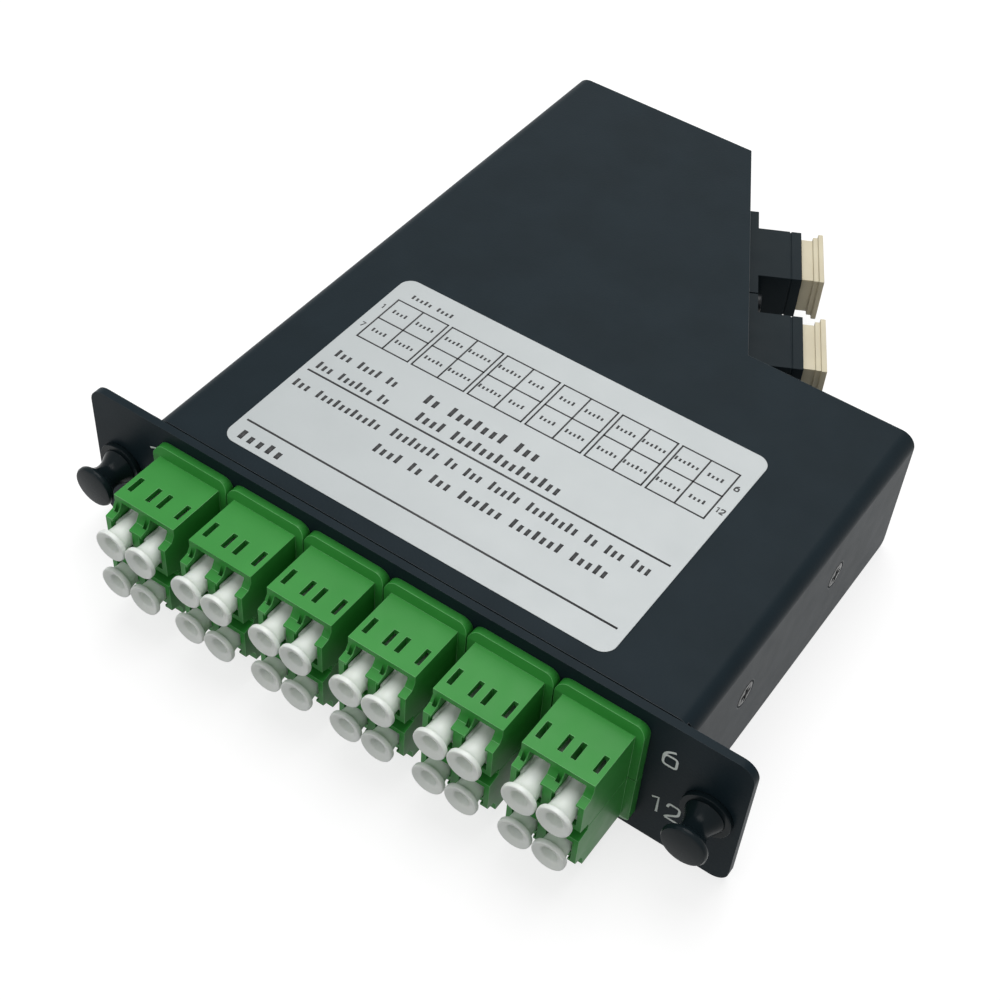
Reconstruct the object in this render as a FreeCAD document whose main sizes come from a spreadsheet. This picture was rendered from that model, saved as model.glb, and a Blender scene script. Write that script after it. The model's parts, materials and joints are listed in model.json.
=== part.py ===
import FreeCAD, Part
import math
import os
import re
import Sketcher

# Fibre cassette: a folded steel case whose front panel carries two rows of six duplex
# LC adapters, with two MPO adapters on a slanted wall at the back.
# Frame: millimetres, +X right, +Y from the panel into the rack, +Z up.
# Origin: centre of the panel, in the plane of its rear face, which seats on the rack.

doc = FreeCAD.newDocument("fibre_cassette")

# ---------------------------------------------------------------- driving dimensions
DIMENSIONS = {
    # front panel
    "panel_width": 130.0,
    "panel_height": 30.0,
    "panel_thickness": 1.5,
    "panel_corner": 3.0,
    "fastener_spacing": 118.5,
    # case
    "case_width": 106.0,
    "case_depth": 133.3,
    "rear_width": 42.2,
    "slant_angle": 61.4,
    "slant_length": 62.7,
    "sheet": 1.2,
    "bend_radius": 3.0,
    "fold_radius": 1.5,
    "cover_drop": 2.0,
    "cover_setback": 1.6,
    "skirt_setback": 2.2,
    "skirt_lift": 0.4,
    "seam": 0.1,
    # label
    "label_width": 77.2,
    "label_depth": 52.3,
    "label_corner": 2.5,
    "label_thickness": 0.12,
    "label_left": 11.6,
    "label_front": 4.8,
    # cover screws, countersunk
    "screw_front": 21.3,
    "screw_spacing": 31.4,
    "screw_rear": 108.0,
    "screw_head": 5.2,
    "screw_shank": 2.8,
    "screw_length": 5.0,
    "screw_fit": 0.1,
    # duplex LC adapters
    "adapter_pitch": 16.2,
    "row_centre": -0.8,
    "row_gap": 0.2,
    "adapter_width": 12.9,
    "adapter_height": 10.6,
    "nose_length": 13.0,
    "lip_reach": 2.4,
    "lip_top": 7.5,
    "lip_bottom": 1.3,
    "lip_chamfer": 0.6,
    "brow": 1.5,
    "ramp_reach": 0.7,
    "ramp_foot": 0.4,
    "rear_length": 14.0,
    "rear_shoulder": 0.4,
    "flange_thickness": 2.0,
    "flange_height": 12.3,
    "flange_gap": 0.2,
    "flange_corner": 2.0,
    "flange_ramp": 0.65,
    "latch_lug": 0.45,
    "cutout_gap": 0.15,
    "port_pitch": 6.25,
    "port_axis": 4.65,
    "port_width": 4.7,
    "port_stop": 3.2,
    "roof": 1.1,
    "channel_width": 3.7,
    "pocket_width": 0.75,
    "pocket_length": 1.0,
    "pocket_depth": 1.5,
    "pocket_wall": 0.2,
    "slot_spread": 1.95,
    "slot_width": 0.95,
    "slot_length": 3.4,
    "slot_setback": 2.1,
    # LC dust caps
    "cap_plug": 4.5,
    "cap_plug_front": 14.6,
    "cap_plug_rear": 5.0,
    "cap_plug_above": 1.4,
    "cap_neck": 4.2,
    "cap_rim": 6.05,
    "cap_reach": 18.4,
    "cap_rim_depth": 0.9,
    "cap_flare": 2.0,
    "cap_wall": 0.35,
    "cap_dish": 3.5,
    "cap_recess": 1.0,
    # LC plugs inside the case
    "plug_body": 4.5,
    "plug_length": 14.0,
    "boot_front": 3.2,
    "boot_rear": 1.8,
    "boot_length": 10.0,
    "plug_gap": 0.2,
    # MPO adapters on the slanted wall
    "mpo_last": 14.6,
    "mpo_pitch": 26.1,
    "mpo_flange": 25.8,
    "mpo_flange_thickness": 3.0,
    "mpo_width": 15.0,
    "mpo_height": 9.5,
    "mpo_reach": 11.6,
    "mpo_inner": 11.0,
    "mpo_port_width": 12.6,
    "mpo_port_height": 7.8,
    "mpo_lip": 2.3,
    "mpo_groove": 0.3,
    "mpo_screw_spacing": 20.6,
    "mpo_screw": 2.0,
    "mpo_screw_head": 3.8,
    "mpo_screw_cap": 1.2,
    "mpo_screw_length": 6.0,
    # MPO dust caps
    "mpo_cap_width": 15.0,
    "mpo_cap_height": 9.6,
    "mpo_cap_depth": 4.3,
    "mpo_cap_plug": 7.0,
    "mpo_cap_ridge": 1.0,
    "mpo_cap_step": 0.58,
    "mpo_cap_drop": 0.42,
    "mpo_fit": 0.1,
    # MPO plugs inside the case
    "mpo_plug_length": 20.0,
    "mpo_boot": 5.0,
    "mpo_boot_length": 9.0,
    "mpo_plug_gap": 1.0,
    "mpo_inner_step": 1.0,
    # push-pull fasteners
    "grommet_flange": 8.8,
    "grommet_flange_depth": 1.0,
    "grommet_seat": 7.0,
    "grommet_barrel": 6.2,
    "grommet_length": 6.0,
    "grommet_solid": 3.4,
    "grommet_slit": 0.6,
    "grommet_fit": 0.05,
    "stem": 3.4,
    "stem_fit": 0.05,
    "knob_base": 6.8,
    "knob_waist": 4.6,
    "knob_shoulder": 6.9,
    "knob_head": 7.9,
    "knob_head_depth": 1.3,
    "knob_reach": 7.7,
    "seat_gap": 0.1,
    # fibre looms
    "loom": 3.6,
    "tail": 0.9,
    "loom_row": 34.0,
    "loom_side": 44.0,
    "loom_far_turn": 89.0,
    "loom_near_turn": 60.0,
}
COLUMNS = 6

sheet = doc.addObject("Spreadsheet::Sheet", "dims")
for row, (alias, size) in enumerate(DIMENSIONS.items(), start=1):
    sheet.set("A%d" % row, alias)
    sheet.set("B%d" % row, str(size))
    sheet.setAlias("B%d" % row, alias)
doc.recompute()

ALIAS = re.compile(r"\b(" + "|".join(sorted(DIMENSIONS, key=len, reverse=True)) + r")\b")


def cell(formula):
    """The formula as an expression on the sheet's cells."""
    return ALIAS.sub(r"dims.\1", formula)


def value(formula):
    """What a formula on the sheet's cells comes to, as a plain number."""
    found = sheet.evalExpression(cell(formula))
    return float(getattr(found, "Value", found))


def bind(piece, **formulas):
    """Bind properties of a piece to formulas on the sheet's cells."""
    for name, formula in formulas.items():
        piece.setExpression(name.replace("__", "."), cell(formula))
    return piece


def place(piece, x="0", y="0", z="0"):
    return bind(piece, Placement__Base__x=x, Placement__Base__y=y, Placement__Base__z=z)


# ---------------------------------------------------------------- building blocks
def box(size, corner):
    """A box of size (x, y, z) from its low corner, both given as formulas."""
    piece = doc.addObject("Part::Box", "block")
    bind(piece, Length=size[0], Width=size[1], Height=size[2])
    return place(piece, *corner)


def bar(size, middle):
    """A box centred in X and Z on the middle, with its low Y face there."""
    corner = ("%s - (%s)/2" % (middle[0], size[0]), middle[1], "%s - (%s)/2" % (middle[2], size[2]))
    return box(size, corner)


def rod(diameter, length, base, axis=(0, 1, 0)):
    """A cylinder from its base point along an axis."""
    piece = doc.addObject("Part::Cylinder", "rod")
    bind(piece, Radius="(%s)/2" % diameter, Height=length)
    piece.Placement.Rotation = FreeCAD.Rotation(FreeCAD.Vector(0, 0, 1), FreeCAD.Vector(*axis))
    return place(piece, *base)


def cone(first, second, length, base, axis=(0, 1, 0)):
    """A cone from its base point along an axis, by its two diameters."""
    piece = doc.addObject("Part::Cone", "taper")
    bind(piece, Radius1="(%s)/2" % first, Radius2="(%s)/2" % second, Height=length)
    piece.Placement.Rotation = FreeCAD.Rotation(FreeCAD.Vector(0, 0, 1), FreeCAD.Vector(*axis))
    return place(piece, *base)


def spire(first, second, length, base):
    """A square taper along Y from the middle of its base, by its two widths."""
    piece = doc.addObject("Part::Wedge", "taper")
    for low, high, width in (("Xmin", "Xmax", first), ("Zmin", "Zmax", first),
                             ("X2min", "X2max", second), ("Z2min", "Z2max", second)):
        bind(piece, **{low: "-(%s)/2" % width, high: "(%s)/2" % width})
    bind(piece, Ymin="0", Ymax=length)
    return place(piece, *base)


def fused(pieces):
    piece = doc.addObject("Part::MultiFuse", "union")
    piece.Shapes = pieces
    piece.Refine = True
    return piece


def cut(base, tools):
    piece = doc.addObject("Part::Cut", "cut")
    piece.Base = base
    piece.Tool = tools[0] if len(tools) == 1 else fused(tools)
    return piece


def grouped(pieces):
    piece = doc.addObject("Part::Compound", "set")
    piece.Links = pieces
    return piece


def polygon(points, plane, height, start="0"):
    """A closed outline through points (pairs of formulas) on XY or YZ, extruded from start."""
    sketch = doc.addObject("Sketcher::SketchObject", "outline")
    corners = [FreeCAD.Vector(value(a), value(b), 0) for a, b in points]
    count = len(points)
    for i in range(count):
        sketch.addGeometry(Part.LineSegment(corners[i], corners[(i + 1) % count]))
    for i, (a, b) in enumerate(points):
        sketch.addConstraint(Sketcher.Constraint("Coincident", i, 1, (i - 1) % count, 2))
        for kind, formula in (("DistanceX", a), ("DistanceY", b)):
            number = sketch.addConstraint(Sketcher.Constraint(kind, -1, 1, i, 1, value(formula)))
            sketch.setExpression("Constraints[%d]" % number, cell(formula))
    extrusion = doc.addObject("Part::Extrusion", "extrusion")
    extrusion.Base = sketch
    extrusion.Solid = True
    extrusion.DirMode = "Custom"
    bind(extrusion, LengthFwd=height)
    if plane == "XY":
        extrusion.Dir = FreeCAD.Vector(0, 0, 1)
        place(sketch, z=start)
    else:
        sketch.Placement.Rotation = FreeCAD.Rotation(FreeCAD.Vector(1, 1, 1), 120)
        extrusion.Dir = FreeCAD.Vector(1, 0, 0)
        place(sketch, x=start)
    return extrusion


def rounded(piece, radius, wanted):
    """Round the edges of a piece whose bounding box the function wanted accepts."""
    doc.recompute()
    fillet = doc.addObject("Part::Fillet", "round")
    fillet.Base = piece
    size = value(radius)
    fillet.Edges = [(number, size, size) for number, edge in enumerate(piece.Shape.Edges, start=1)
                    if wanted(edge.BoundBox)]
    return fillet


def bevelled(piece, size, wanted):
    """Bevel the edges of a piece whose bounding box the function wanted accepts."""
    doc.recompute()
    chamfer = doc.addObject("Part::Chamfer", "bevel")
    chamfer.Base = piece
    amount = value(size)
    chamfer.Edges = [(number, amount, amount) for number, edge in enumerate(piece.Shape.Edges, start=1)
                     if wanted(edge.BoundBox)]
    return chamfer


# ---------------------------------------------------------------- shared places
OUTER_HALF = "case_width/2"
TRAY_HALF = "(case_width/2 - sheet - seam)"
FLOOR = "-panel_height/2"
COVER_TOP = "(panel_height/2 - cover_drop)"
WALL_TOP = "(panel_height/2 - cover_drop - sheet - seam)"
REAR_CORNER = "(rear_width - case_width/2)"
NOTCH_X = "(rear_width - case_width/2 + slant_length*cos(slant_angle))"
NOTCH_Y = "(case_depth - slant_length*sin(slant_angle))"
MITRE = "sheet*tan(slant_angle/2)"
SCREW_ROWS = ["screw_front", "(screw_front + screw_spacing)"]
MPO_PLACES = ["(slant_length - mpo_last - mpo_pitch)", "(slant_length - mpo_last)"]
REAR_TOP = "(adapter_height - rear_shoulder)"
PLUG_END = "(port_stop + plug_gap + plug_length)"

nodes = {}


def node(piece, name):
    """Make a piece one named sub-part of the object."""
    piece.Label = name
    nodes[name] = piece
    return piece


def near(a, b):
    return abs(a - b) < 0.01


def on_slant(piece, along, out="0"):
    """Move a piece from the slanted wall's own frame (X along it, Y outward) to its place."""
    piece.Placement.Rotation = FreeCAD.Rotation(FreeCAD.Vector(0, 0, -1), 1)
    piece.setExpression("Placement.Rotation.Angle", cell("slant_angle"))
    return place(piece,
                 "%s + (%s)*cos(slant_angle) + (%s)*sin(slant_angle)" % (REAR_CORNER, along, out),
                 "case_depth - (%s)*sin(slant_angle) + (%s)*cos(slant_angle)" % (along, out))


def column_x(column):
    return "(row_centre + (%s)*adapter_pitch)" % (column - (COLUMNS - 1) / 2)


def seated(piece, column, row):
    """Put a piece of an adapter in its column, upright in the row above or turned in the one below."""
    piece.Placement.Rotation = FreeCAD.Rotation(FreeCAD.Vector(0, 1, 0), 0 if row == 0 else 180)
    return place(piece, column_x(column), "-panel_thickness")


# ---------------------------------------------------------------- folded steel case
def screw_places():
    """Side (-1 left, 1 right) and depth of each cover screw: the long left side has one more."""
    rows = [(side, depth) for side in (-1, 1) for depth in SCREW_ROWS]
    return rows + [(-1, "screw_rear")]


def at_rear_fold(low):
    """A test for the lowest edges along the rear walls, where they fold up from the floor."""
    return lambda b: near(b.ZMax, low) and b.XLength > 0.01 and b.YMax > value("case_depth") / 2


def base_tray():
    """Floor, front panel with its ears, side walls and rear walls, folded from one sheet."""
    plate = bar(("panel_width", "panel_thickness", "panel_height"), ("0", "-panel_thickness", "0"))
    plate = rounded(plate, "panel_corner", lambda b: b.XLength < 0.01 and b.ZLength < 0.01)
    outline = [("-" + TRAY_HALF, "-panel_thickness/2"), (TRAY_HALF, "-panel_thickness/2"),
               (TRAY_HALF, NOTCH_Y), (NOTCH_X, NOTCH_Y), (REAR_CORNER, "case_depth"),
               ("-" + TRAY_HALF, "case_depth")]
    block = polygon(outline, "XY", WALL_TOP + " + panel_height/2", FLOOR)
    top = value(WALL_TOP)
    block = rounded(block, "bend_radius - sheet - seam", lambda b: b.XLength < 0.01
                    and near(b.ZMin, top) and near(abs(b.XMin), value(TRAY_HALF)))
    block = rounded(block, "fold_radius", at_rear_fold(value(FLOOR)))
    inside = [("sheet - " + TRAY_HALF, "0"), (TRAY_HALF + " - sheet", "0"),
              (TRAY_HALF + " - sheet", NOTCH_Y + " - sheet"),
              (NOTCH_X + " - " + MITRE, NOTCH_Y + " - sheet"),
              (REAR_CORNER + " - " + MITRE, "case_depth - sheet"),
              ("sheet - " + TRAY_HALF, "case_depth - sheet")]
    walls = cut(block, [polygon(inside, "XY", "panel_height", FLOOR + " + sheet")])
    corners, holes = [], []
    for edge in ("-" + TRAY_HALF, TRAY_HALF + " - sheet"):
        corners.append(box(("sheet", "panel_thickness/2 + cover_setback - 2*seam", "panel_height"),
                           (edge, "-panel_thickness/2", FLOOR)))
    for side, depth in screw_places():
        holes.append(rod("screw_shank + 2*screw_fit", "3*sheet",
                         ("(%s)*(%d)" % (TRAY_HALF + " + sheet", side), depth, "0"), (-side, 0, 0)))
    for side in (-1, 1):
        holes.append(rod("grommet_seat + 2*grommet_fit", "3*panel_thickness",
                         ("fastener_spacing/2*(%d)" % side, "-2*panel_thickness", "0")))
    for column in range(COLUMNS):
        holes.append(bar(("adapter_width + 2*cutout_gap", "3*panel_thickness",
                          "2*(%s + cutout_gap)" % REAR_TOP),
                         (column_x(column), "-2*panel_thickness", "0")))
    for place_along in MPO_PLACES:
        opening = [bar(("mpo_width - 2*mpo_inner_step + 2*cutout_gap", "4*sheet",
                        "mpo_height - mpo_inner_step + 2*cutout_gap"), ("0", "-3*sheet", "0"))]
        opening += [rod("mpo_screw + 2*screw_fit", "4*sheet",
                        ("mpo_screw_spacing/2*(%d)" % side, "-3*sheet", "0")) for side in (-1, 1)]
        holes.append(on_slant(grouped(opening), place_along))
    return node(cut(fused([plate, walls] + corners), holes), "base_tray")


def top_cover():
    """Top sheet with both side walls folded down from it, on bends of the outer radius."""
    front, bottom = "cover_setback", FLOOR + " + skirt_lift"
    outline = [("-" + OUTER_HALF, front), (OUTER_HALF, front), (OUTER_HALF, NOTCH_Y),
               (NOTCH_X, NOTCH_Y), (REAR_CORNER, "case_depth"), ("-" + OUTER_HALF, "case_depth")]
    block = polygon(outline, "XY", "%s - (%s)" % (COVER_TOP, bottom), bottom)
    top = value(COVER_TOP)
    block = rounded(block, "bend_radius", lambda b: b.XLength < 0.01 and near(b.ZMin, top)
                    and near(abs(b.XMin), value(OUTER_HALF)))
    block = rounded(block, "fold_radius", at_rear_fold(value(bottom)))
    inside = box(("case_width - 2*sheet", "case_depth", "panel_height"),
                 ("sheet - case_width/2", "0", COVER_TOP + " - sheet - panel_height"))
    inside = rounded(inside, "bend_radius - sheet", lambda b: b.XLength < 0.01 and b.ZLength < 0.01
                     and near(b.ZMin, value(COVER_TOP + " - sheet")))
    reliefs = [box(("2*sheet", "skirt_setback", "2*panel_height"), (edge, "0", "-panel_height"))
               for edge in (TRAY_HALF, "-%s - 2*sheet" % TRAY_HALF)]
    sinks = [cone("screw_head + 2*screw_fit", "screw_shank + 2*screw_fit", "sheet",
                  ("(%s)*(%d)" % (OUTER_HALF, side), depth, "0"), (-side, 0, 0))
             for side, depth in screw_places()]
    return node(cut(block, [inside] + reliefs + sinks), "top_cover")


def label():
    plate = box(("label_width", "label_depth", "label_thickness"),
                ("label_left - case_width/2", "label_front", COVER_TOP))
    return node(rounded(plate, "label_corner", lambda b: b.XLength < 0.01 and b.YLength < 0.01),
                "label")


def cover_screws():
    """Countersunk screws through the cover's sides into the tray's."""
    screws = []
    for side, depth in screw_places():
        base = ("(%s)*(%d)" % (OUTER_HALF, side), depth, "0")
        screws.append(fused([cone("screw_head", "screw_shank", "sheet", base, (-side, 0, 0)),
                             rod("screw_shank", "screw_length", base, (-side, 0, 0))]))
    return node(grouped(screws), "cover_screws")


# ---------------------------------------------------------------- LC adapters and caps
def lc_adapter(column, row):
    """Moulded duplex housing: ramped beak over two keyed ports, panel flange and rear half."""
    half = "adapter_width/2"
    lip = "-(nose_length + lip_reach)"
    profile = [("0", "row_gap/2"), ("0", "adapter_height"), ("-nose_length", "adapter_height"),
               ("-nose_length", "adapter_height - brow"),
               ("-(nose_length + ramp_reach)", "lip_top + ramp_foot"), (lip, "lip_top"),
               (lip, "lip_bottom"), ("-nose_length", "lip_bottom - lip_chamfer"),
               ("-nose_length", "row_gap/2")]
    nose = polygon(profile, "YZ", "adapter_width", "-" + half)
    flange = box(("adapter_pitch - flange_gap", "flange_thickness", "flange_height - row_gap/2"),
                 ("(flange_gap - adapter_pitch)/2", "-flange_thickness", "row_gap/2"))
    flange = rounded(flange, "flange_corner", lambda b: b.XLength < 0.01 and b.ZLength < 0.01
                     and near(b.ZMin, value("flange_height")))
    ramp = polygon([("-flange_thickness", "adapter_height"),
                    ("flange_ramp - flange_thickness", "flange_height"),
                    ("flange_ramp - flange_thickness", "2*flange_height"),
                    ("-2*flange_thickness", "2*flange_height"),
                    ("-2*flange_thickness", "adapter_height")],
                   "YZ", "2*adapter_pitch", "-adapter_pitch")
    rear = box(("adapter_width", "rear_length", REAR_TOP + " - row_gap/2"),
               ("-" + half, "0", "row_gap/2"))
    lugs = bar(("adapter_width + 2*latch_lug", "panel_thickness", "port_width"),
               ("0", "panel_thickness + seam", "port_axis"))
    hollows = []
    for side in (-1, 1):
        port = "port_pitch/2*(%d)" % side
        sill, lintel = "port_axis - port_width/2", "port_axis + port_width/2"
        depth = "(nose_length + 2*lip_reach - port_stop)"
        hollows.append(bar(("port_width", depth, "port_width"),
                           (port, "-port_stop - " + depth, "port_axis")))
        hollows.append(box(("channel_width", depth, "adapter_height - roof - port_axis"),
                           ("%s - channel_width/2" % port, "-port_stop - " + depth, "port_axis")))
        hollows.append(box(("port_width", "rear_length", "%s - roof - (%s)" % (REAR_TOP, sill)),
                           ("%s - port_width/2" % port, "port_stop", sill)))
        pocket_left = "%s - channel_width/2 - pocket_wall - pocket_width" % port
        hollows.append(box(("pocket_width", "pocket_length", "adapter_height - lip_top + pocket_depth"),
                           (pocket_left, "-nose_length - pocket_length", "lip_top - pocket_depth")))
        for slot in (-1, 1):
            hollows.append(bar(("slot_width", "slot_length", "2*(adapter_height - (%s))" % lintel),
                               ("%s + slot_spread*(%d)" % (port, slot),
                                "slot_setback - nose_length", "adapter_height")))
    housing = cut(fused([nose, cut(flange, [ramp]), rear, lugs]), hollows)
    number = row * COLUMNS + column + 1
    return node(seated(housing, column, row), "lc_adapter_%02d" % number)


def lc_cap(column, row, side):
    """Soft dust cap: square plug round the neck and a dished, flared rim to pull."""
    port = "port_pitch/2*(%d)" % side
    height = "port_axis"
    plug = box(("cap_plug", "cap_plug_front - cap_plug_rear", "cap_plug/2 + cap_plug_above"),
               (port + " - cap_plug/2", "-cap_plug_front", height + " - cap_plug/2"))
    rim_back = "(cap_reach - cap_rim_depth)"
    neck = rod("cap_neck", rim_back + " - cap_plug_rear", (port, "-" + rim_back, height))
    flare = cone("cap_rim", "cap_neck", "cap_flare", (port, "-" + rim_back, height))
    rim = rod("cap_rim", "cap_rim_depth", (port, "-cap_reach", height))
    dish = cone("cap_rim - 2*cap_wall", "cap_dish", "cap_recess", (port, "-cap_reach", height))
    cap = cut(fused([plug, neck, flare, rim]), [dish])
    number = 2 * (row * COLUMNS + column) + (1 if side < 0 else 2)
    return node(seated(cap, column, row), "lc_cap_%02d" % number)


def lc_plugs(row, name):
    """The row's twelve plugs inside the case, each a square body with a square tapered boot."""
    plugs = []
    for column in range(COLUMNS):
        for side in (-1, 1):
            port = "port_pitch/2*(%d)" % side
            body = bar(("plug_body", "plug_length", "plug_body"),
                       (port, "port_stop + plug_gap", "port_axis"))
            boot = spire("boot_front", "boot_rear", "boot_length", (port, PLUG_END, "port_axis"))
            plugs.append(seated(fused([body, boot]), column, row))
    return node(grouped(plugs), name)


# ---------------------------------------------------------------- MPO adapters and caps
def mpo_adapter(number):
    """Adapter screwed to the slanted wall, open right through, with a groove near its mouth."""
    flange = bar(("mpo_flange", "mpo_flange_thickness", "mpo_height"), ("0", "0", "0"))
    outer = bar(("mpo_width", "mpo_reach", "mpo_height"), ("0", "0", "0"))
    inner = bar(("mpo_width - 2*mpo_inner_step", "mpo_inner", "mpo_height - mpo_inner_step"),
                ("0", "-mpo_inner", "0"))
    port = bar(("mpo_port_width", "2*(mpo_reach + mpo_inner)", "mpo_port_height"),
               ("0", "-mpo_reach - mpo_inner", "0"))
    groove = cut(bar(("2*mpo_width", "mpo_groove", "2*mpo_height"),
                     ("0", "mpo_reach - mpo_lip", "0")),
                 [bar(("mpo_width - mpo_groove", "3*mpo_groove", "mpo_height - mpo_groove"),
                      ("0", "mpo_reach - mpo_lip - mpo_groove", "0"))])
    holes = [rod("mpo_screw + 2*screw_fit", "3*mpo_flange_thickness",
                 ("mpo_screw_spacing/2*(%d)" % side, "-mpo_flange_thickness", "0"))
             for side in (-1, 1)]
    body = cut(fused([flange, outer, inner]), [port, groove] + holes)
    return node(on_slant(body, MPO_PLACES[number - 1]), "mpo_adapter_%d" % number)


def mpo_cap(number):
    """Dust cap that widens in three steps to its pull rim, with a plug in the adapter's mouth."""
    seat = "mpo_reach + seat_gap"
    steps = []
    for step in range(3):
        start = "0" if step == 0 else "mpo_cap_depth - mpo_cap_ridge*(%d)" % (3 - step)
        steps.append(bar(("mpo_cap_width - 2*mpo_cap_step*(%d)" % (2 - step),
                          "mpo_cap_depth - mpo_cap_ridge*(%d) - (%s)" % (2 - step, start),
                          "mpo_cap_height - 2*mpo_cap_drop*(%d)" % (2 - step)),
                         ("0", "%s + %s" % (seat, start), "0")))
    plug = bar(("mpo_port_width - 2*mpo_fit", "mpo_cap_plug + seat_gap",
                "mpo_port_height - 2*mpo_fit"), ("0", "mpo_reach - mpo_cap_plug", "0"))
    return node(on_slant(fused(steps + [plug]), MPO_PLACES[number - 1]), "mpo_cap_%d" % number)


def mpo_plug(number):
    """Plug inside the case with its boot, on the loom's end."""
    front = "(mpo_reach - mpo_cap_plug - mpo_plug_gap)"
    body = bar(("mpo_port_width - 2*mpo_fit", "mpo_plug_length", "mpo_port_height - 2*mpo_fit"),
               ("0", front + " - mpo_plug_length", "0"))
    boot = cone("mpo_boot", "loom", "mpo_boot_length", ("0", front + " - mpo_plug_length", "0"),
                (0, -1, 0))
    return node(on_slant(fused([body, boot]), MPO_PLACES[number - 1]), "mpo_plug_%d" % number)


def mpo_screws():
    screws = []
    for place_along in MPO_PLACES:
        for side in (-1, 1):
            across = "mpo_screw_spacing/2*(%d)" % side
            head = rod("mpo_screw_head", "mpo_screw_cap", (across, "mpo_flange_thickness", "0"))
            shank = rod("mpo_screw", "mpo_screw_length",
                        (across, "mpo_flange_thickness - mpo_screw_length", "0"))
            screws.append(on_slant(fused([head, shank]), place_along))
    return node(grouped(screws), "mpo_screws")


# ---------------------------------------------------------------- push-pull fasteners
def grommet(side, name):
    """Snap-in bush in the ear, with its barrel split both ways behind the panel."""
    collar = rod("grommet_flange", "grommet_flange_depth", ("0", "-grommet_flange_depth", "0"))
    seat = rod("grommet_seat", "panel_thickness", ("0", "0", "0"))
    barrel = rod("grommet_barrel", "grommet_length", ("0", "panel_thickness", "0"))
    bore = rod("stem + 2*stem_fit", "3*grommet_length", ("0", "-grommet_length", "0"))
    slits = [bar(size, ("0", "panel_thickness + grommet_solid", "0"))
             for size in (("grommet_slit", "grommet_length", "2*grommet_barrel"),
                          ("2*grommet_barrel", "grommet_length", "grommet_slit"))]
    bush = cut(fused([collar, seat, barrel]), [bore] + slits)
    bush.Placement.Rotation = FreeCAD.Rotation(FreeCAD.Vector(0, 1, 0), 45)
    return node(place(bush, "fastener_spacing/2*(%d)" % side, "-panel_thickness"), name)


def plunger(side, name):
    """Turned push-pull knob: flared foot, waist and flat head on a stem through the grommet."""
    foot = "(grommet_flange_depth + seat_gap)"
    waist = "((knob_reach - knob_head_depth + %s)/2)" % foot
    stem = rod("stem", "knob_reach + panel_thickness + grommet_length", ("0", "-knob_reach", "0"))
    lower = cone("knob_waist", "knob_base", "%s - %s" % (waist, foot), ("0", "-" + waist, "0"))
    upper = cone("knob_shoulder", "knob_waist", "knob_reach - knob_head_depth - %s" % waist,
                 ("0", "knob_head_depth - knob_reach", "0"))
    head = rod("knob_head", "knob_head_depth", ("0", "-knob_reach", "0"))
    knob = fused([stem, lower, upper, head])
    return node(place(knob, "fastener_spacing/2*(%d)" % side, "-panel_thickness"), name)


# ---------------------------------------------------------------- fibre looms
def tube(points, diameter):
    """A round tube along straight runs joined by tangent arcs, and its arcs' radii."""
    edges, radii = [], []
    start = points[0]
    for before, corner, after in zip(points, points[1:], points[2:]):
        back, ahead = (before - corner).normalize(), (after - corner).normalize()
        half_turn = (math.pi - back.getAngle(ahead)) / 2
        reach = 0.45 * min((before - corner).Length, (after - corner).Length)
        radius = reach / math.tan(half_turn)
        centre_way = (back + ahead).normalize()
        middle = corner + centre_way * (radius / math.cos(half_turn) - radius)
        into, out = corner + back * reach, corner + ahead * reach
        edges += [Part.LineSegment(start, into).toShape(), Part.Arc(into, middle, out).toShape()]
        radii.append(round(radius, 2))
        start = out
    edges.append(Part.LineSegment(start, points[-1]).toShape())
    path = Part.Wire(edges)
    ring = Part.Wire(Part.makeCircle(diameter / 2, points[0], points[1] - points[0]))
    solid = path.makePipeShell([ring], True, False)
    print("tube arcs", radii, "volume", round(solid.Volume, 1),
          "section times length", round(math.pi * diameter ** 2 / 4 * path.Length, 1))
    return solid, radii


def loom(number, row, name):
    """Jacketed fibres from an MPO plug round to its row, with a tail to each LC plug."""
    along = value(MPO_PLACES[number - 1])
    inward = value("mpo_reach - mpo_cap_plug - mpo_plug_gap - mpo_plug_length - mpo_boot_length")
    slant = math.radians(value("slant_angle"))
    start = FreeCAD.Vector(value(REAR_CORNER) + along * math.cos(slant) + inward * math.sin(slant),
                           value("case_depth") - along * math.sin(slant) + inward * math.cos(slant), 0)
    height = value("port_axis") * (1 if row == 0 else -1)
    side, line = -value("loom_side"), value("loom_row")
    turn = value("loom_far_turn" if number == 1 else "loom_near_turn")
    last = value(column_x(COLUMNS - 1) + " + port_pitch/2 + loom/2")
    points = [start, FreeCAD.Vector(side, turn, height), FreeCAD.Vector(side, line, height),
              FreeCAD.Vector(last, line, height)]
    trunk, radii = tube(points, value("loom"))
    bend = radii[-1]
    tails = []
    boot_end = value(PLUG_END + " + boot_length - panel_thickness")
    for column in range(COLUMNS):
        for port in (-1, 1):
            x = value(column_x(column)) + value("port_pitch") / 2 * port
            into_bend = max(0.0, min(bend, side + bend - x))
            end = line + bend - math.sqrt(bend ** 2 - into_bend ** 2)
            tails.append(Part.makeCylinder(value("tail") / 2, end - boot_end,
                                           FreeCAD.Vector(x, boot_end, height),
                                           FreeCAD.Vector(0, 1, 0)))
    piece = doc.addObject("Part::Feature", "loom")
    piece.Shape = trunk.multiFuse(tails).removeSplitter()
    return node(piece, name)


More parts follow.
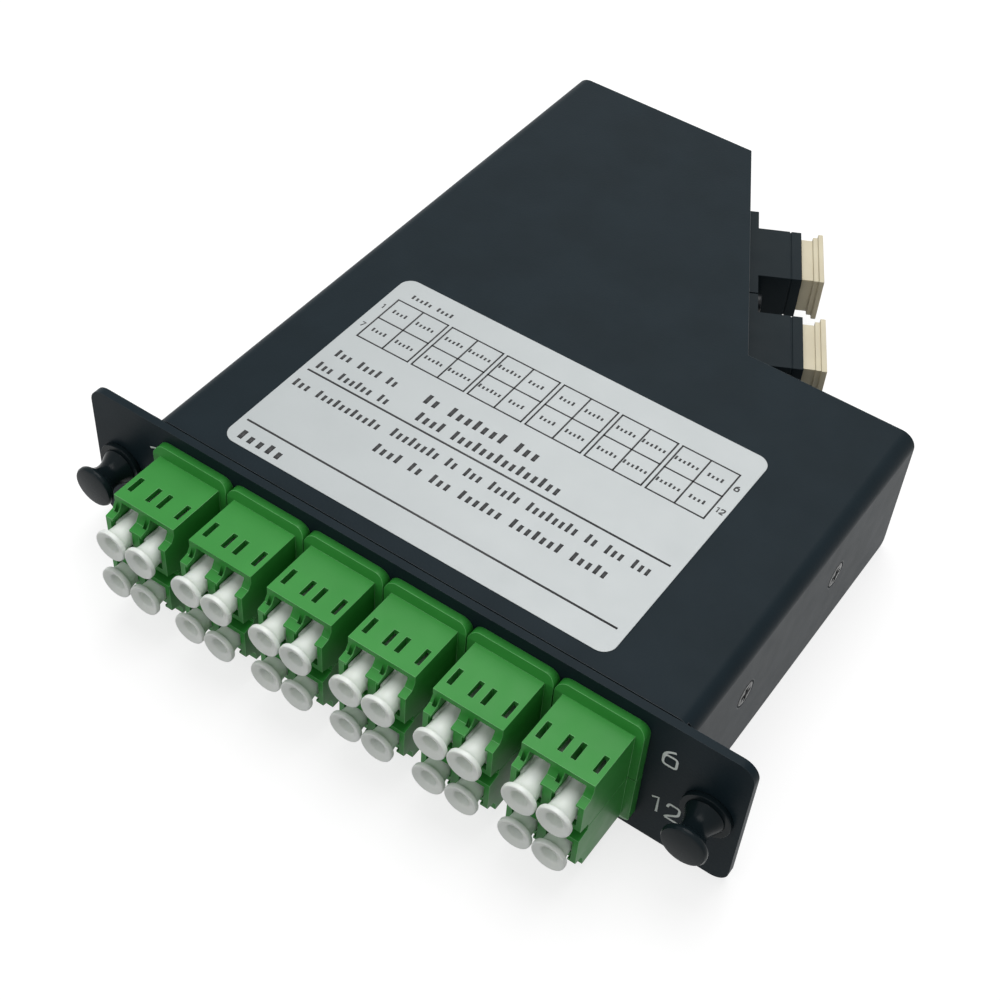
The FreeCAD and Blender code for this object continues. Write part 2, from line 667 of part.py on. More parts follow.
# ---------------------------------------------------------------- the object
base_tray()
top_cover()
label()
cover_screws()
for row in (0, 1):
    for column in range(COLUMNS):
        lc_adapter(column, row)
        for side in (-1, 1):
            lc_cap(column, row, side)
lc_plugs(0, "lc_plugs_upper")
lc_plugs(1, "lc_plugs_lower")
for number in (1, 2):
    mpo_adapter(number)
    mpo_cap(number)
    mpo_plug(number)
mpo_screws()
grommet(-1, "left_grommet")
grommet(1, "right_grommet")
plunger(-1, "left_plunger")
plunger(1, "right_plunger")
loom(1, 0, "upper_loom")
loom(2, 1, "lower_loom")
doc.recompute()

for item in doc.Objects:
    if "Invalid" in item.State or "Error" in item.State:
        raise RuntimeError("%s (%s) didn't build: %s" % (item.Name, item.Label, item.State))
os.makedirs("parts", exist_ok=True)
for name, piece in nodes.items():
    if piece.Shape.isNull() or not piece.Shape.isValid():
        raise RuntimeError(name + " has no valid shape")
    piece.Shape.exportStep("parts/%s.step" % name)
print(len(nodes), "nodes written")
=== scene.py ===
import bmesh
import bpy
import json
import math
from mathutils import Matrix, Vector


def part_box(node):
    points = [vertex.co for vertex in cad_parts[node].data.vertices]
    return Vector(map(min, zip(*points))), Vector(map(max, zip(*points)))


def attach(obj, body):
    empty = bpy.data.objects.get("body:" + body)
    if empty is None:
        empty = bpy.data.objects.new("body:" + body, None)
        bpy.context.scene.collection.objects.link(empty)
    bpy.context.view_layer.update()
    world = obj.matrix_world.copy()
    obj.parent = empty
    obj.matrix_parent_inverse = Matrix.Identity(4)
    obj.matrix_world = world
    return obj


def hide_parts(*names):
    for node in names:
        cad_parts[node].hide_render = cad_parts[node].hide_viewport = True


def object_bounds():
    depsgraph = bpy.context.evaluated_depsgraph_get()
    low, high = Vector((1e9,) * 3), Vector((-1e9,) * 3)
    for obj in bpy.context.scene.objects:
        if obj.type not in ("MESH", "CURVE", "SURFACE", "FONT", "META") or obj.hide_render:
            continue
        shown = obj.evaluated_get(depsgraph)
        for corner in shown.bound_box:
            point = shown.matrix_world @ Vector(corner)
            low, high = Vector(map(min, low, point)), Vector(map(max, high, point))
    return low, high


# Fibre cassette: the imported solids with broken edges, turned caps and knobs, print and finishes.
# Metres, +X right, +Y from the panel into the rack, +Z up.

MM = 0.001
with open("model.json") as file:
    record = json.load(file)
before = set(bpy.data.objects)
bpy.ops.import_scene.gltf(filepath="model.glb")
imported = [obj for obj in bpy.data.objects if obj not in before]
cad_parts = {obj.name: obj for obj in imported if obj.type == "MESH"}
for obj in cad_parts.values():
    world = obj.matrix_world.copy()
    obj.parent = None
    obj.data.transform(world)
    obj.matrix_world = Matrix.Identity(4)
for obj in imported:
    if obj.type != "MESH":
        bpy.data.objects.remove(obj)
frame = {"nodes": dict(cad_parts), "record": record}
cad_low, cad_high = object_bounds()
SLOTS = {part["node"]: part["material_slot"] for part in frame["record"]["subparts"]}
BODIES = frame["record"]["behaviour"]["bodies"]
MOUNTS = {mount["name"]: mount for mount in frame["record"]["mounts"]}


def body_of(node):
    """The body that a CAD node belongs to."""
    return next(body for body, members in BODIES.items() if node in members)


# ---------------------------------------------------------------- finishes
def shader(name, roughness, **settings):
    """A material with its node tree, its shader's constants set on their own sockets."""
    material = bpy.data.materials.new(name)
    material.use_nodes = True
    surface = material.node_tree.nodes["Principled BSDF"]
    surface.inputs["Roughness"].default_value = roughness
    for socket, amount in settings.items():
        surface.inputs[socket.replace("_", " ")].default_value = amount
    return material, surface


def add(material, kind, **settings):
    """A new node of a material's tree, with its settings or input values."""
    node = material.node_tree.nodes.new(kind)
    for name, amount in settings.items():
        if hasattr(node, name):
            setattr(node, name, amount)
        else:
            node.inputs[name.replace("_", " ")].default_value = amount
    return node


def noise(material, size, detail=3.0):
    """Noise in the piece's own space, with blotches of about the size given in metres."""
    place = add(material, "ShaderNodeTexCoord")
    texture = add(material, "ShaderNodeTexNoise", Scale=1 / size, Detail=detail)
    material.node_tree.links.new(place.outputs["Object"], texture.inputs["Vector"])
    return texture.outputs["Fac"]


def tint(material, surface, mask, dark, light):
    """Colour that goes from dark to light over the middle of a mask."""
    ramp = add(material, "ShaderNodeValToRGB")
    for stop, position, colour in zip(ramp.color_ramp.elements, (0.35, 0.65), (dark, light)):
        stop.position = position
        stop.color = (*colour, 1)
    material.node_tree.links.new(mask, ramp.inputs["Fac"])
    material.node_tree.links.new(ramp.outputs["Color"], surface.inputs["Base Color"])


def gloss(material, surface, mask, smooth, rough):
    """Roughness that goes from smooth to rough over a mask."""
    spread = add(material, "ShaderNodeMapRange", From_Min=0.3, From_Max=0.7, To_Min=smooth, To_Max=rough)
    material.node_tree.links.new(mask, spread.inputs["Value"])
    material.node_tree.links.new(spread.outputs["Result"], surface.inputs["Roughness"])


def relief(material, surface, mask, height):
    """A bump of the height in metres over a mask."""
    bump = add(material, "ShaderNodeBump", Distance=height, Strength=1.0)
    material.node_tree.links.new(mask, bump.inputs["Height"])
    material.node_tree.links.new(bump.outputs["Normal"], surface.inputs["Normal"])


TINT_PATCH = 12 * MM
GLOSS_PATCH = 4 * MM


def moulded(name, dark, light, smooth, rough, grain, depth, **settings):
    """A coloured finish: faint patches of tint and gloss, and a skin of fine grain, in metres."""
    material, surface = shader(name, rough, **settings)
    tint(material, surface, noise(material, TINT_PATCH), dark, light)
    gloss(material, surface, noise(material, GLOSS_PATCH, 2.0), smooth, rough)
    relief(material, surface, noise(material, grain, 2.0), depth)
    return material


powder_coat = moulded("black_powder_coat", (0.0085, 0.0160, 0.0210), (0.0105, 0.0190, 0.0250),
                      0.40, 0.43, 0.0005, 0.00002, Specular_IOR_Level=0.06)
film = moulded("label_film", (0.44, 0.475, 0.48), (0.46, 0.495, 0.50), 0.30, 0.36, 0.0009, 0.000006,
               Specular_IOR_Level=0.7)
ink = moulded("label_ink", (0.010, 0.011, 0.012), (0.016, 0.017, 0.018), 0.45, 0.60, 0.0003, 0.000004)
panel_paint = moulded("panel_number_paint", (0.76, 0.79, 0.78), (0.84, 0.87, 0.86), 0.45, 0.6,
                      0.0003, 0.00001)
green = moulded("green_adapter_plastic", (0.030, 0.245, 0.036), (0.037, 0.272, 0.043),
                0.36, 0.44, 0.0005, 0.000008, Specular_IOR_Level=0.20)
milky = moulded("milky_cap_plastic", (0.79, 0.83, 0.79), (0.84, 0.88, 0.83), 0.30, 0.42, 0.0008, 0.00001,
                Subsurface_Weight=0.3, Subsurface_Scale=0.0012, Subsurface_Radius=(1.0, 1.0, 0.9))
black_plastic = moulded("black_adapter_plastic", (0.0085, 0.0150, 0.0190), (0.0105, 0.0180, 0.0220),
                        0.36, 0.44, 0.0004, 0.00001, Specular_IOR_Level=0.07)
ivory = moulded("ivory_cap_plastic", (0.58, 0.52, 0.37), (0.66, 0.60, 0.43), 0.38, 0.48, 0.0006, 0.00001,
                Subsurface_Weight=0.1, Subsurface_Scale=0.001, Subsurface_Radius=(1.0, 0.9, 0.7))
knob_plastic = moulded("black_knob_nylon", (0.0080, 0.0140, 0.0170), (0.0100, 0.0170, 0.0200),
                       0.20, 0.28, 0.0008, 0.00001, Specular_IOR_Level=0.09)
black_steel = moulded("blackened_screw_steel", (0.012, 0.014, 0.016), (0.020, 0.023, 0.025),
                      0.22, 0.32, 0.0003, 0.000008, Specular_IOR_Level=0.22)
boot_plastic = moulded("green_plug_plastic", (0.024, 0.22, 0.03), (0.03, 0.25, 0.035),
                       0.40, 0.50, 0.0005, 0.00001)
yellow_jacket = moulded("yellow_loom_jacket", (0.62, 0.40, 0.03), (0.70, 0.47, 0.04), 0.38, 0.5,
                        0.0008, 0.00001)
# Painted highlight: a lighter green on the adapters' bevels, standing in for the light their edges catch.
green_edge_highlight = moulded("green_plastic_painted_highlight", (0.11, 0.40, 0.12), (0.15, 0.46, 0.16), 0.34, 0.42, 0.0005,
                     0.000008)
# Painted highlight: a paler coat on the case's bevels, standing in for the light lines along its sheet
# edges.
coat_edge_highlight = moulded("powder_coat_painted_highlight", (0.030, 0.040, 0.045), (0.045, 0.056, 0.062), 0.32, 0.38, 0.0005,
                    0.00001, Specular_IOR_Level=0.3)
# Lighter colours that paint a highlight along the broken edges, by finish.
EDGE_HIGHLIGHTS = {"green_plastic": green_edge_highlight, "powder_coat": coat_edge_highlight}
FINISHES = {
    "powder_coat": powder_coat, "label_film": film, "black_screws": black_steel,
    "green_plastic": green, "cap_plastic": milky, "black_plastic": black_plastic,
    "ivory_plastic": ivory, "fastener_plastic": knob_plastic, "plug_plastic": boot_plastic,
    "mpo_plug_plastic": boot_plastic, "loom_jacket": yellow_jacket,
}


# ---------------------------------------------------------------- making pieces
SHARP = math.radians(35)


def made(bm, name, finish, edge=0.0, segments=2):
    """A finished piece from a bmesh, its sharp edges rounded by edge metres, shaded smooth."""
    mesh = bpy.data.meshes.new(name)
    for face in bm.faces:
        face.smooth = True
    bm.to_mesh(mesh)
    bm.free()
    piece = bpy.data.objects.new(name, mesh)
    bpy.context.scene.collection.objects.link(piece)
    mesh.materials.append(finish)
    if edge:
        bevel = piece.modifiers.new("broken_edges", "BEVEL")
        bevel.width = edge
        bevel.segments = segments
        bevel.limit_method = "ANGLE"
        bevel.angle_limit = SHARP
        bevel.use_clamp_overlap = True
        even = piece.modifiers.new("even_shading", "WEIGHTED_NORMAL")
        even.keep_sharp = True
    return piece


def less(bm, cutter):
    """The first bmesh with the second one cut out of it, as a new bmesh."""
    body, tool = made(bm, "uncut", ink), made(cutter, "cutter", ink)
    cut = body.modifiers.new("cut", "BOOLEAN")
    cut.object = tool
    cut.solver = "EXACT"
    cut.use_self = True
    bpy.context.view_layer.update()
    mesh = bpy.data.meshes.new_from_object(body.evaluated_get(bpy.context.evaluated_depsgraph_get()))
    bpy.data.objects.remove(body)
    bpy.data.objects.remove(tool)
    cut_bm = bmesh.new()
    cut_bm.from_mesh(mesh)
    bpy.data.meshes.remove(mesh)
    return cut_bm


def dressed(node, edge, cutter=None):
    """A copy of a CAD node in its finish, less a cutter, with its flat faces whole and its edges broken,
    and a lighter painted highlight colour on the bevels where its finish has one.
    """
    bm = bmesh.new()
    bm.from_mesh(frame["nodes"][node].data)
    bmesh.ops.remove_doubles(bm, verts=bm.verts, dist=0.002 * MM)
    bmesh.ops.dissolve_limit(bm, angle_limit=math.radians(0.5), verts=bm.verts, edges=bm.edges)
    if cutter:
        bm = less(bm, cutter)
    piece = made(bm, node + "_shell", FINISHES[SLOTS[node]], edge)
    # The bevels take the lighter colour, a painted highlight, where the finish has one.
    if SLOTS[node] in EDGE_HIGHLIGHTS:
        piece.data.materials.append(EDGE_HIGHLIGHTS[SLOTS[node]])
        piece.modifiers["broken_edges"].material = 1
    stands_for(piece, node)


def stands_for(piece, node):
    """The piece takes the place of a CAD node, on its body."""
    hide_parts(node)
    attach(piece, body_of(node))


def turned(profile, sides):
    """A bmesh turned about Y from (radius, y) pairs in millimetres; its ends lie on the axis."""
    bm = bmesh.new()
    line = [bm.verts.new((radius * MM, y * MM, 0)) for radius, y in profile]
    edges = [bm.edges.new(pair) for pair in zip(line, line[1:])]
    bmesh.ops.spin(bm, geom=line + edges, cent=(0, 0, 0), axis=(0, 1, 0), angle=2 * math.pi,
                   steps=sides, use_merge=True)
    bmesh.ops.remove_doubles(bm, verts=bm.verts, dist=0.001 * MM)
    bmesh.ops.recalc_face_normals(bm, faces=bm.faces)
    for edge in bm.edges:
        edge.smooth = edge.calc_face_angle(0) < SHARP
    return bm


def block(bm, low, high, bevel=0.0):
    """A box from its low corner to its high one, in metres, with rounded edges."""
    size = [b - a for a, b in zip(low, high)]
    middle = [(a + b) / 2 for a, b in zip(low, high)]
    box = bmesh.ops.create_cube(bm, size=1.0,
                                matrix=Matrix.Translation(middle) @ Matrix.Diagonal((*size, 1)))
    if bevel:
        edges = list({edge for vert in box["verts"] for edge in vert.link_edges})
        bmesh.ops.bevel(bm, geom=edges, offset=bevel, segments=2, profile=0.5,
                        affect="EDGES", material=-1)


def joined(bm, other):
    """Add another bmesh's faces to the first and free it."""
    mesh = bpy.data.meshes.new("joining")
    other.to_mesh(mesh)
    other.free()
    bm.from_mesh(mesh)
    bpy.data.meshes.remove(mesh)


# ---------------------------------------------------------------- case, adapters and screws
CASE_EDGE = 0.22 * MM
ADAPTER_EDGE = 0.09 * MM
MPO_EDGE = 0.2 * MM
MPO_CAP_EDGE = 0.18 * MM
LABEL_EDGE = 0.03 * MM
GROMMET_EDGE = 0.2 * MM

# The tray's corner strips end just under the cover's top, behind the panel's rear face.
STRIP_X = 56 * MM
STRIP_FRONT, STRIP_REAR = 0.02 * MM, 5 * MM
strip_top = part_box("top_cover")[1].z - 0.1 * MM
behind_panel = bmesh.new()
block(behind_panel, (-STRIP_X, STRIP_FRONT, strip_top),
      (STRIP_X, STRIP_REAR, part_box("base_tray")[1].z + 1 * MM))
dressed("base_tray", CASE_EDGE, cutter=behind_panel)
dressed("top_cover", CASE_EDGE)
for number in range(1, 13):
    dressed("lc_adapter_%02d" % number, ADAPTER_EDGE)
for number in (1, 2):
    dressed("mpo_adapter_%d" % number, MPO_EDGE)
    dressed("mpo_cap_%d" % number, MPO_CAP_EDGE)
dressed("label", LABEL_EDGE)
for side in ("left", "right"):
    dressed(side + "_grommet", GROMMET_EDGE)
# What lies inside the case keeps its CAD form and only takes its finish.
for node in ("lc_plugs_upper", "lc_plugs_lower", "mpo_plug_1", "mpo_plug_2", "upper_loom", "lower_loom"):
    for slot in frame["nodes"][node].material_slots:
        slot.material = FINISHES[SLOTS[node]]


# ---------------------------------------------------------------- dust caps, screws and knobs
PANEL_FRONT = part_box("base_tray")[0].y
# Profiles are (radius, y) pairs in millimetres, with y from the panel's front face.
CAP_PROFILE = [(0, -15.9), (1.4, -15.9), (1.46, -17.7), (1.55, -17.9), (1.8, -18.05), (2.5, -18.27),
               (2.68, -18.39), (2.84, -18.4), (2.96, -18.33), (3.02, -18.15), (3.02, -17.65),
               (2.95, -17.5), (2.7, -17.36), (2.45, -17.1), (2.28, -16.7), (2.19, -16.2), (2.15, -15.6),
               (2.15, -5.2), (0, -5.2)]
CAP_SIDES = 40
CAP_PLUG = ((-2.25, -14.6, -2.25), (2.25, -5.0, 1.4))
CAP_PLUG_EDGE = 0.3 * MM


def dust_cap(number):
    """Soft cap: a square plug and a turned neck whose flared rim is dished round a blind bore."""
    port = Vector(MOUNTS["lc_port_%02d" % number]["pos_m"])
    bm = turned(CAP_PROFILE, CAP_SIDES)
    plug = bmesh.new()
    low, high = [[length * MM for length in corner] for corner in CAP_PLUG]
    block(plug, low, high, bevel=CAP_PLUG_EDGE)
    if port.z < 0:
        plug.transform(Matrix.Rotation(math.pi, 4, "Y"))
    joined(bm, plug)
    bm.transform(Matrix.Translation((port.x, PANEL_FRONT, port.z)))
    node = "lc_cap_%02d" % number
    stands_for(made(bm, node + "_soft", milky), node)


for number in range(1, 25):
    dust_cap(number)


SCREW_SIDES = 48
SCREW_EDGE = 0.06 * MM


def cross_screw(head, shank, recess):
    """A bmesh of a screw whose head's face lies at the origin, facing +Y, with a cross recess.

    In millimetres: the head's face radius, foot radius and depth, the shank's radius and end,
    and the recess's half length, half width and depth.
    """
    (top, low, depth), (thin, length), (arm, width, sink) = head, shank, recess
    body = turned([(0, 0), (top - 0.18, 0), (top - 0.05, -0.05), (top, -0.18), (low, -depth),
                   (thin, -depth), (thin, -length), (0, -length)], SCREW_SIDES)
    cross = bmesh.new()
    for half_x, half_z in ((arm, width), (width, arm)):
        block(cross, (-half_x * MM, -sink * MM, -half_z * MM), (half_x * MM, sink * MM, half_z * MM))
    return less(body, cross)


def screws(node, pattern, places):
    """Copies of a screw at (place, outward direction) pairs, in the place of a CAD node."""
    bm = bmesh.new()
    for place, out in places:
        turn = Vector((0, 1, 0)).rotation_difference(Vector(out)).to_matrix().to_4x4()
        copy = pattern.copy()
        copy.transform(Matrix.Translation(place) @ turn)
        joined(bm, copy)
    pattern.free()
    stands_for(made(bm, node + "_turned", black_steel, SCREW_EDGE, 1), node)


COVER_SCREW = {"head": (2.3, 1.4, 1.0), "shank": (1.35, 4.9), "recess": (1.5, 0.42, 0.75)}
HEAD_RADIUS = 2.6 * MM
SCREW_SPACING = 31.4 * MM
screw_low, screw_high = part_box("cover_screws")
front_row = screw_low.y + HEAD_RADIUS
cover_places = [((side * screw_high.x, along, 0), (side, 0, 0))
                for side in (-1, 1) for along in (front_row, front_row + SCREW_SPACING)]
cover_places.append(((screw_low.x, screw_high.y - HEAD_RADIUS, 0), (-1, 0, 0)))
screws("cover_screws", cross_screw(**COVER_SCREW), cover_places)

MPO_SCREW = {"head": (1.85, 1.85, 1.2), "shank": (0.95, 6.0), "recess": (1.1, 0.3, 0.6)}
HEAD_BEHIND_MOUTH = 7.4 * MM
SCREWS_APART = 20.6 * MM
mpo_places = []
for number in (1, 2):
    mouth = Vector(MOUNTS["mpo_port_%d" % number]["pos_m"])
    out = Vector(MOUNTS["mpo_port_%d" % number]["axis"])
    across = Vector((-out.y, out.x, 0))
    for side in (-0.5, 0.5):
        mpo_places.append((mouth - out * HEAD_BEHIND_MOUTH + across * side * SCREWS_APART, out))
screws("mpo_screws", cross_screw(**MPO_SCREW), mpo_places)

KNOB_PROFILE = [(0, -7.7), (3.3, -7.7), (3.75, -7.6), (3.95, -7.3), (3.95, -6.75), (3.8, -6.5),
                (3.3, -6.1), (2.75, -5.5), (2.4, -4.6), (2.35, -3.8), (2.5, -3.0), (2.9, -2.1),
                (3.3, -1.4), (3.4, -1.12), (1.7, -1.1), (1.7, 7.5), (0, 7.5)]
KNOB_SIDES = 64


def knob(side):
    """Push-pull plunger: flat head, waist and flared foot on a stem."""
    bm = turned(KNOB_PROFILE, KNOB_SIDES)
    stud = MOUNTS[side + "_stud"]["pos_m"]
    bm.transform(Matrix.Translation((stud[0], PANEL_FRONT, stud[2])))
    stands_for(made(bm, side + "_knob", knob_plastic), side + "_plunger")


knob("left")
knob("right")


# ---------------------------------------------------------------- print on the label and panel
LABEL_LOW, LABEL_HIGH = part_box("label")
PRINT_TOP = LABEL_HIGH.z + 0.012 * MM
printed = bmesh.new()


def stroke(left, low, right, high):
    """A bar of ink on the label between two corners, in millimetres of the cassette's own X and Y."""
    block(printed, (left * MM, low * MM, LABEL_HIGH.z - 0.02 * MM), (right * MM, high * MM, PRINT_TOP))


def rule(left, right, y, width):
    """A line of ink along X."""
    stroke(left, y - width / 2, right, y + width / 2)


def upright(x, low, high, width):
    """A line of ink along Y."""
    stroke(x - width / 2, low, x + width / 2, high)


# A letter's bar takes this share of its pitch, and one of these shares of its line's height.
INK_SHARE = 0.46
TALL, SHORT = 1.0, 0.74


def words(left, right, y, height, lengths):
    """A line of greeked words: one bar of ink in place of each letter, one pitch between words.

    All in millimetres: the line's ends in X, its middle in Y and its height, with its words' letters.
    """
    pitch = (right - left) / (sum(lengths) + len(lengths) - 1)
    for length in lengths:
        for letter in range(length):
            tall = TALL if letter % 3 == 0 else SHORT
            foot = y - height / 2
            stroke(left, foot, left + INK_SHARE * pitch, foot + tall * height)
            left += pitch
        left += pitch


# The port table: six groups of two by two cells, in the cassette's own millimetres.
TABLE_LEFT, TABLE_RIGHT = -38.9, 32.95
TABLE_LOW, TABLE_HIGH = 38.55, 50.9
TABLE_LINE = 0.32
GROUPS = 6
GROUP_GAP = 0.9
CELL_LETTER = 0.84
CELL_HEIGHT = 0.95
group_width = (TABLE_RIGHT - TABLE_LEFT - GROUP_GAP * (GROUPS - 1)) / GROUPS
for group in range(GROUPS):
    left = TABLE_LEFT + group * (group_width + GROUP_GAP)
    for x in (left, left + group_width / 2, left + group_width):
        upright(x, TABLE_LOW, TABLE_HIGH, TABLE_LINE)
    for y in (TABLE_LOW, (TABLE_LOW + TABLE_HIGH) / 2, TABLE_HIGH):
        rule(left - TABLE_LINE / 2, left + group_width + TABLE_LINE / 2, y, TABLE_LINE)
    for column in (0, 1):
        for row in (0, 1):
            middle = left + group_width * (0.25 + 0.5 * column)
            height = TABLE_LOW + (TABLE_HIGH - TABLE_LOW) * (0.25 + 0.5 * row)
            letters = 4 + (group + column) % 3
            half = CELL_LETTER / 2 * letters
            words(middle - half, middle + half, height, CELL_HEIGHT, (letters,))

RULE_WIDTH = 0.42
for y, left in ((26.3, -40.2), (10.3, -40.3)):
    rule(left, 34.0, y, RULE_WIDTH)
# Each line of greeked words: its ends in X, its middle in Y, its height, and its words' letters.
LINES = (
    (-37.4, -28.0, 53.2, 1.1, (5, 4)),
    (-38.8, -25.0, 32.8, 1.9, (3, 4, 2)),
    (-39.5, -23.6, 28.4, 1.9, (3, 6, 2)),
    (-40.0, -21.0, 22.6, 1.9, (3, 11)),
    (-19.5, 4.7, 33.2, 2.4, (2, 7, 3)),
    (-18.1, 11.7, 28.9, 2.3, (4, 15)),
    (-19.2, 32.7, 23.2, 2.1, (8, 2, 3, 5, 8, 2, 3, 3)),
    (-19.3, 27.6, 18.5, 2.1, (4, 2, 3, 6, 7, 5)),
    (-39.0, -29.2, 7.1, 2.1, (5,)),
)
for line in LINES:
    words(*line)

made_print = made(printed, "label_print", ink)
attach(made_print, "case")

# Plain figures as single strokes, each a run of control points on a height of 1: straight where
# it has two or three points, curved where it has more.
SIX = ((0.20, 0.50), (-0.04, 0.42), (-0.30, 0.16), (-0.32, -0.16), (-0.30, -0.51), (0.01, -0.51),
       (0.31, -0.50), (0.31, -0.18), (0.30, 0.12), (0.01, 0.12), (-0.27, 0.10), (-0.31, -0.14))
TWO = ((-0.28, 0.24), (-0.26, 0.50), (0.01, 0.50), (0.28, 0.49), (0.28, 0.22), (0.26, 0.02),
       (-0.02, -0.20), (-0.28, -0.40), (-0.31, -0.50))
FIGURES = {
    "1": (((-0.26, 0.36), (0.04, 0.50), (0.04, -0.50)),),
    "7": (((-0.30, 0.48), (0.30, 0.48), (-0.10, -0.50)),),
    "6": (SIX,),
    "2": (TWO, ((-0.31, -0.49), (0.31, -0.49))),
}
FIGURE_PITCH = 0.76
STROKE_HEIGHT = 0.015 * MM
PANEL_STROKE = 0.06
LABEL_STROKE = 0.13


def numeral(text, middle, height, stroke_share, finish, name):
    """A plain number in flat strokes about its middle, on the label or, at negative Y, on the panel.

    A stroke's half width is its share of the number's height.
    """
    curve = bpy.data.curves.new(name, "CURVE")
    curve.dimensions = "3D"
    curve.bevel_depth = stroke_share * height
    curve.bevel_resolution = 3
    curve.resolution_u = 6
    curve.use_fill_caps = True
    for place, figure in enumerate(text):
        shift = (place - (len(text) - 1) / 2) * FIGURE_PITCH
        for run in FIGURES[figure]:
            spline = curve.splines.new("POLY" if len(run) < 4 else "NURBS")
            spline.points.add(len(run) - 1)
            for point, (x, y) in zip(spline.points, run):
                point.co = ((x + shift) * height, y * height, 0, 1)
            spline.order_u = 3
            spline.use_endpoint_u = True
    line = bpy.data.objects.new(name + "_line", curve)
    bpy.context.scene.collection.objects.link(line)
    bpy.context.view_layer.update()
    mesh = bpy.data.meshes.new_from_object(line.evaluated_get(bpy.context.evaluated_depsgraph_get()))
    bpy.data.objects.remove(line)
    bpy.data.curves.remove(curve)
    mesh.transform(Matrix.Diagonal((1, 1, STROKE_HEIGHT / (stroke_share * height), 1)))
    if middle.y < 0:
        mesh.transform(Matrix.Rotation(math.radians(90), 4, "X"))
    mesh.transform(Matrix.Translation(middle))
    mesh.materials.clear()
    mesh.materials.append(finish)
    piece = bpy.data.objects.new(name, mesh)
    bpy.context.scene.collection.objects.link(piece)
    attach(piece, "case")


# Port numbers: text with its middle in X and Z on the panel, or in X and its row on the label.
PANEL_NUMBERS = (("1", -50.9, 7.2), ("7", -51.6, -5.6), ("6", 51.6, 7.3), ("12", 52.4, -5.5))
PANEL_FIGURE = 3.8 * MM
for text, x, z in PANEL_NUMBERS:
    numeral(text, Vector((x * MM, PANEL_FRONT - 0.005 * MM, z * MM)), PANEL_FIGURE, PANEL_STROKE,
            panel_paint, "panel_number_" + text)
LABEL_NUMBERS = (("1", -40.0, 1), ("7", -40.0, 0), ("6", 34.1, 1), ("12", 34.3, 0))
LABEL_FIGURE = 1.15 * MM
row_step = (TABLE_HIGH - TABLE_LOW) / 2
for text, x, row in LABEL_NUMBERS:
    numeral(text, Vector((x * MM, (TABLE_LOW + row_step * (row + 0.5)) * MM, LABEL_HIGH.z)), LABEL_FIGURE,
            LABEL_STROKE, ink, "label_number_" + text)


# ---------------------------------------------------------------- floor, lights and camera
FLOOR_GLOW = 0.76
FLOOR_GREY = 0.3
FLOOR_HALF = 3.0
WORLD_LEVEL = 0.35


def seen(tree):
    """1 for a ray that shows the backdrop: from the camera, in a gloss or through glass."""
    path = tree.nodes.new("ShaderNodeLightPath")
    rays = path.outputs["Is Camera Ray"]
    for kind in ("Is Glossy Ray", "Is Transmission Ray"):
        either = tree.nodes.new("ShaderNodeMath")
        either.operation = "MAXIMUM"
        tree.links.new(rays, either.inputs[0])
        tree.links.new(path.outputs[kind], either.inputs[1])
        rays = either.outputs["Value"]
    return rays


def stage_floor():
    """A wide pale floor, white to the camera where nothing shades it."""
    bm = bmesh.new()
    bmesh.ops.create_grid(bm, x_segments=1, y_segments=1, size=FLOOR_HALF,
                          matrix=Matrix.Translation((0, 0, cad_low.z - 0.05 * MM)))
    material, surface = shader("pale_floor", 0.9)
    surface.inputs["Base Color"].default_value = (FLOOR_GREY, FLOOR_GREY, FLOOR_GREY, 1)
    surface.inputs["Emission Color"].default_value = (1, 1, 1, 1)
    glow = add(material, "ShaderNodeMapRange", To_Min=0.0, To_Max=FLOOR_GLOW)
    material.node_tree.links.new(seen(material.node_tree), glow.inputs["Value"])
    material.node_tree.links.new(glow.outputs["Result"], surface.inputs["Emission Strength"])
    floor = made(bm, "floor", material)


def area_light(name, place, aim, size, power):
    """A softbox of a width and depth in metres, with its power in watts."""
    data = bpy.data.lights.new(name, "AREA")
    data.shape = "RECTANGLE"
    data.size, data.size_y = size
    data.energy = power
    lamp = bpy.data.objects.new(name, data)
    lamp.location = place
    lamp.rotation_euler = (Vector(aim) - Vector(place)).to_track_quat("-Z", "Y").to_euler()
    bpy.context.scene.collection.objects.link(lamp)


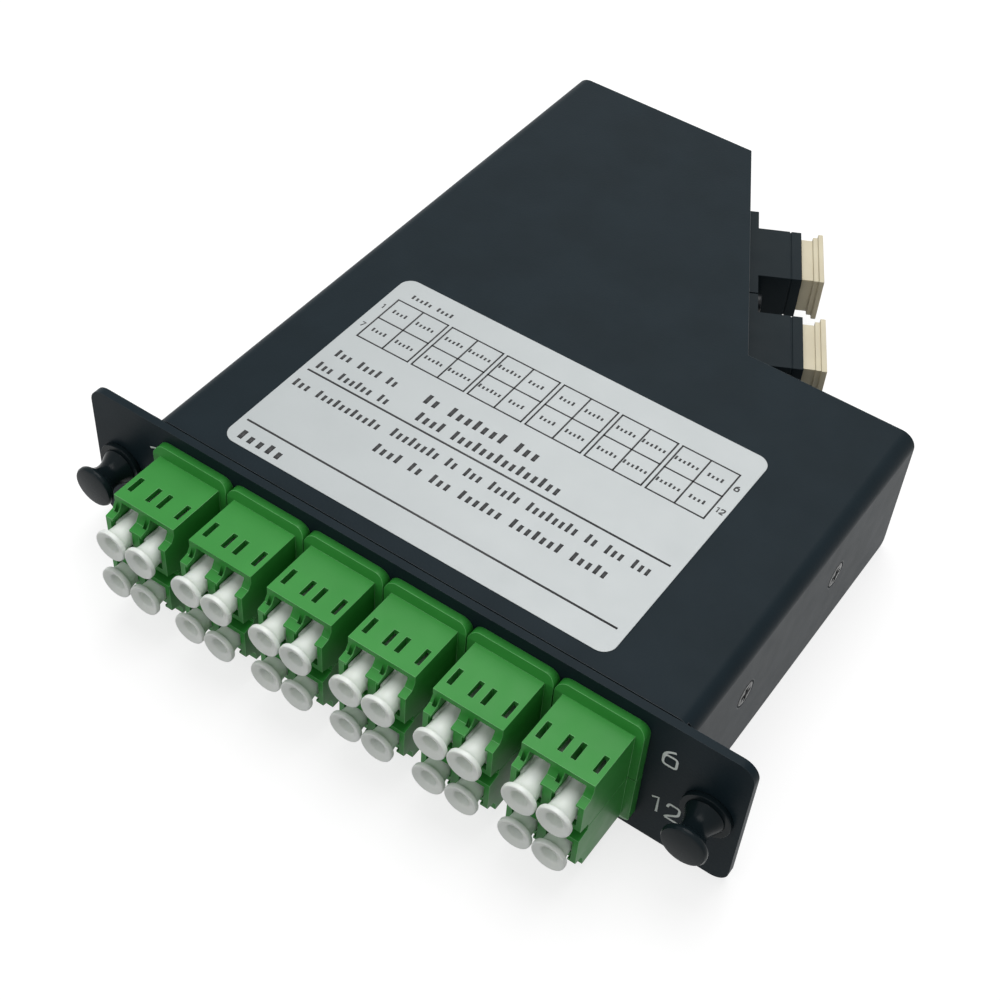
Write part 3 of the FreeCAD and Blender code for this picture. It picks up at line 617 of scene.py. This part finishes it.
def world_light(level):
    """An even white world: at the level where it lights, and full where it is seen."""
    world = bpy.data.worlds.new("studio")
    world.use_nodes = True
    tree = world.node_tree
    background = tree.nodes["Background"]
    strength = tree.nodes.new("ShaderNodeMapRange")
    strength.inputs["To Min"].default_value = level
    strength.inputs["To Max"].default_value = 1.0
    tree.links.new(seen(tree), strength.inputs["Value"])
    tree.links.new(strength.outputs["Result"], background.inputs["Strength"])
    background.inputs["Color"].default_value = (1, 1, 1, 1)
    bpy.context.scene.world = world


CAMERA_AZIMUTH, CAMERA_ELEVATION, CAMERA_ROLL = 31.263, 47.052, 4.877
CAMERA_DISTANCE = 0.301369
CAMERA_AIM = Vector((-2.124 * MM, 31.806 * MM, 0))
CAMERA_LENS = 62.24


def main_camera():
    """The camera, by its angles round the object, its tilt and its distance from its aim."""
    azimuth, elevation, roll = [math.radians(a) for a in (CAMERA_AZIMUTH, CAMERA_ELEVATION, CAMERA_ROLL)]
    back = Vector((math.sin(azimuth) * math.cos(elevation), -math.cos(azimuth) * math.cos(elevation),
                   math.sin(elevation)))
    right = Vector((math.cos(azimuth), math.sin(azimuth), 0))
    turn = Matrix.Rotation(roll, 3, back)
    right = turn @ right
    upward = back.cross(right)
    data = bpy.data.cameras.new("camera")
    data.lens = CAMERA_LENS
    data.sensor_width = 36
    data.clip_start = 0.01
    camera = bpy.data.objects.new("camera", data)
    rows = Matrix((right, upward, back)).transposed().to_4x4()
    camera.matrix_world = Matrix.Translation(CAMERA_AIM + back * CAMERA_DISTANCE) @ rows
    bpy.context.scene.collection.objects.link(camera)
    bpy.context.scene.camera = camera


stage_floor()
world_light(WORLD_LEVEL)
area_light("overhead", (-0.05, 0.25, 0.92), (0, 0.05, 0), (0.7, 0.7), 5.2)
area_light("rear_softbox", (-0.25, 0.75, 0.85), (0, 0.05, 0), (0.5, 0.4), 1.6)
area_light("front_fill", (-0.25, -0.7, 0.75), (0, 0, 0), (0.6, 0.5), 1.6)
main_camera()
bpy.context.scene.view_settings.view_transform = "Standard"
